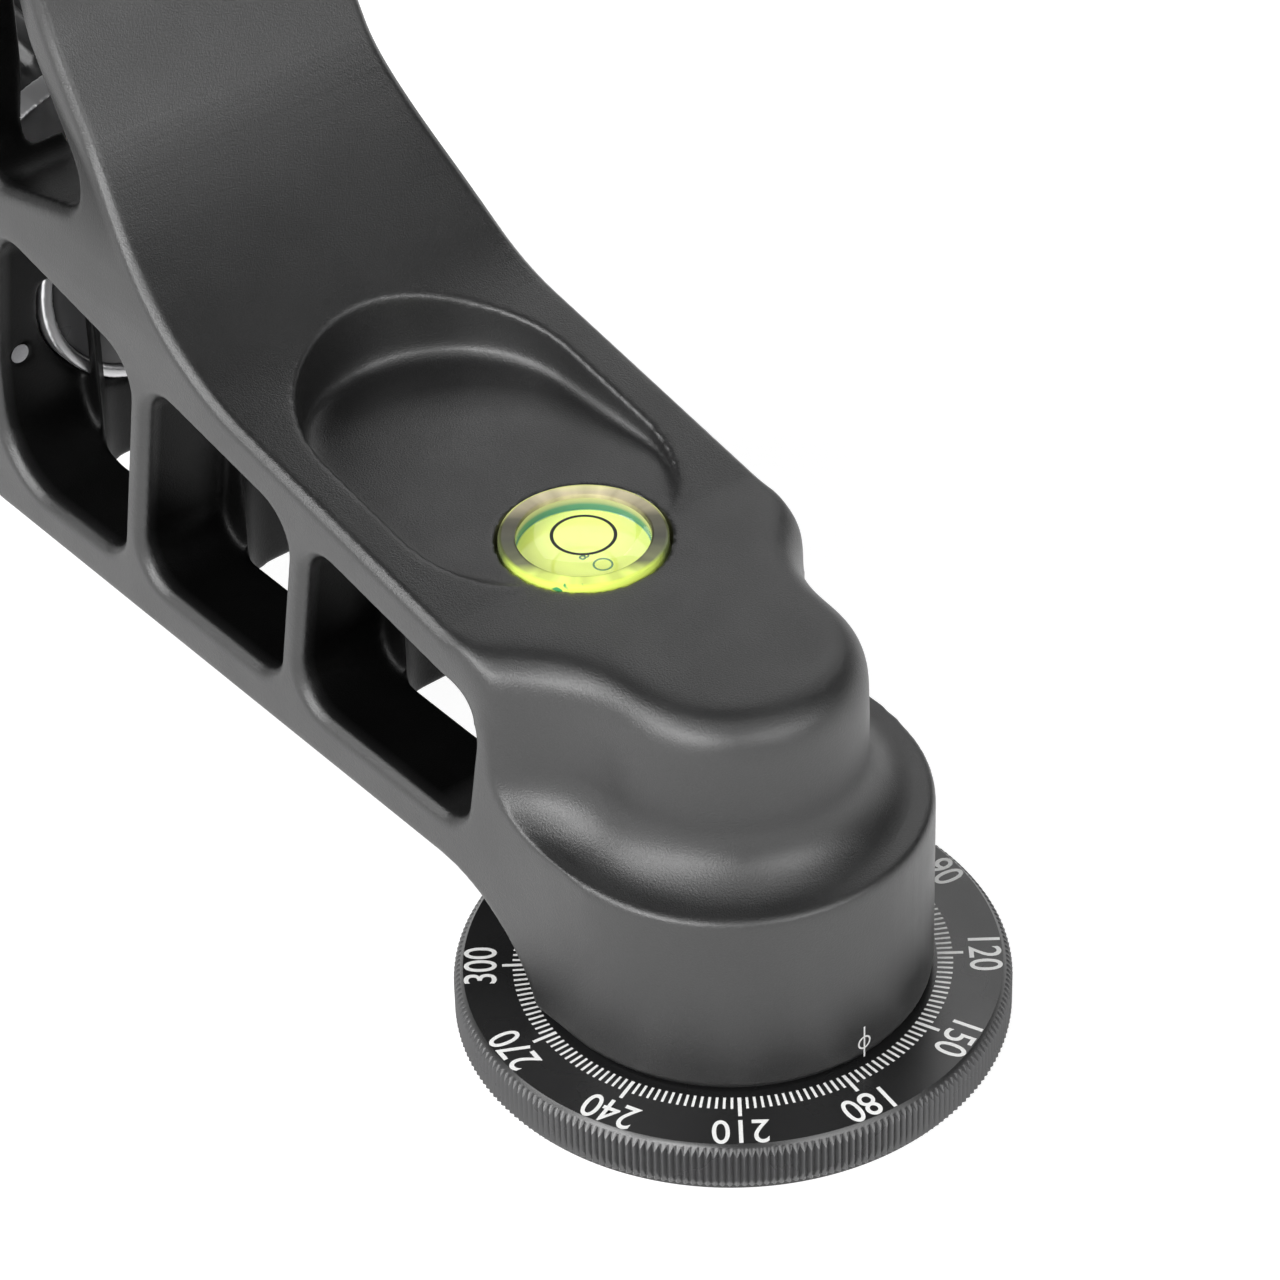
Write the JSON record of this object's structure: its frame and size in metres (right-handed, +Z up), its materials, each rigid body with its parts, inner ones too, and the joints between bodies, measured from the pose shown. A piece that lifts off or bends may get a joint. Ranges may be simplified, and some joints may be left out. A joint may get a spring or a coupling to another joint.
{
  "type": "gimbal head",
  "caption": "Side-arm gimbal head with graduated pan base, windowed L-shaped arm, bullseye level, tilting swing arm and height-adjustable platform with dovetail clamp.",
  "frame": {"origin": "on the pan axis at the underside of the base, where the tripod screw enters", "axes": "+Z up along the pan axis, +Y along the arm towards the upright, +X across the arm"},
  "size_m": [0.0793, 0.1958, 0.2619],
  "materials": {
    "anodised_black": "bead-blasted, satin black anodised",
    "dial_black": "fine turned, black anodised, white marks",
    "knob_black": "fluted, black anodised",
    "satin_silver": "turned, satin clear anodised",
    "steel": "turned stainless steel",
    "ball_steel": "polished bearing steel",
    "brass": "turned brass",
    "seal_rubber": "matt rubber",
    "level_clear": "clear acrylic",
    "level_fluid": "yellow-green fluid"
  },
  "bodies": {
    "base": {"pan_base": "dial_black", "tripod_insert": "steel", "base_screws": "steel", "pan_spindle": "steel", "spindle_nut": "steel", "pan_lower_inner_race": "steel", "pan_upper_inner_race": "steel"},
    "arm": {"main_arm": "anodised_black", "dust_seal": "seal_rubber", "bearing_retainer": "steel", "pan_lower_outer_race": "steel", "pan_lower_balls": "ball_steel", "pan_upper_outer_race": "steel", "pan_upper_balls": "ball_steel", "level_cup": "level_clear", "level_fluid": "level_fluid", "level_lens": "level_clear", "elbow_bush": "satin_silver", "bush_screws": "steel", "pan_lock_nut": "dial_black", "tilt_inner_outer_race": "steel", "tilt_inner_balls": "ball_steel", "tilt_outer_outer_race": "steel", "tilt_outer_balls": "ball_steel", "tilt_retainer": "steel"},
    "pan_brake": {"pan_brake_shoe": "brass"},
    "pan_lock": {"pan_lock_rod": "steel", "pan_lock_knob": "knob_black", "pan_knob_cap": "satin_silver"},
    "cradle": {"tilt_axle": "steel", "tilt_inner_race_a": "steel", "tilt_inner_race_b": "steel", "tilt_spacer": "steel", "tilt_friction_washer": "brass", "tilt_clip": "steel", "swing_arm": "anodised_black", "hub_screws": "steel", "hub_cap": "satin_silver", "rail_stop_screws": "steel"},
    "tilt_lock": {"tilt_lock_knob": "knob_black", "tilt_lock_insert": "brass"},
    "carriage": {"platform": "anodised_black", "clamp_base": "anodised_black", "clamp_base_screws": "steel"},
    "gib": {"height_gib": "brass"},
    "height_lock": {"height_lock_screw": "steel", "height_lock_knob": "knob_black"},
    "jaw": {"clamp_jaw": "anodised_black", "guide_pins": "steel"},
    "clamp_lock": {"clamp_screw": "steel", "clamp_knob": "knob_black"}
  },
  "joints": [
    {"name": "pan", "type": "hinge", "parent": "base", "child": "arm", "pos_m": [0, 0, 0], "axis": [0, 0, 1], "continuous": true},
    {"name": "pan_lock_turn", "type": "hinge", "parent": "arm", "child": "pan_lock", "pos_m": [0, 0, 0.0263], "axis": [0, -0.9839, -0.1788], "range_deg": [0, 180]},
    {"name": "pan_brake_press", "type": "slide", "parent": "arm", "child": "pan_brake", "axis": [0, -0.9839, -0.1788], "range_m": [0, 0.0005]},
    {"name": "tilt", "type": "hinge", "parent": "arm", "child": "cradle", "pos_m": [0, 0, 0.238], "axis": [0, 1, 0], "continuous": true},
    {"name": "tilt_lock_turn", "type": "hinge", "parent": "cradle", "child": "tilt_lock", "pos_m": [0, 0.13, 0.238], "axis": [0, -1, 0], "range_deg": [0, 270]},
    {"name": "platform_height", "type": "slide", "parent": "cradle", "child": "carriage", "axis": [0, 0, -1], "range_m": [0, 0.049]},
    {"name": "height_lock_turn", "type": "hinge", "parent": "carriage", "child": "height_lock", "pos_m": [0.04, 0.08095, 0.183], "axis": [-1, 0, 0], "range_deg": [0, 180]},
    {"name": "height_gib_press", "type": "slide", "parent": "carriage", "child": "gib", "axis": [-1, 0, 0], "range_m": [0, 0.0005]},
    {"name": "clamp_jaw_slide", "type": "slide", "parent": "carriage", "child": "jaw", "axis": [0, -1, 0], "range_m": [0, 0.006]},
    {"name": "clamp_knob_turn", "type": "hinge", "parent": "jaw", "child": "clamp_lock", "pos_m": [0, -0.035, 0.2095], "axis": [0, -1, 0], "range_deg": [0, 1080]}
  ],
  "couplings": [
    {"joint": "pan_lock_turn", "follows": "pan_brake_press", "rad_per_m": 6283.2},
    {"joint": "height_lock_turn", "follows": "height_gib_press", "rad_per_m": 6283.2},
    {"joint": "clamp_knob_turn", "follows": "clamp_jaw_slide", "rad_per_m": 3141.6}
  ]
}
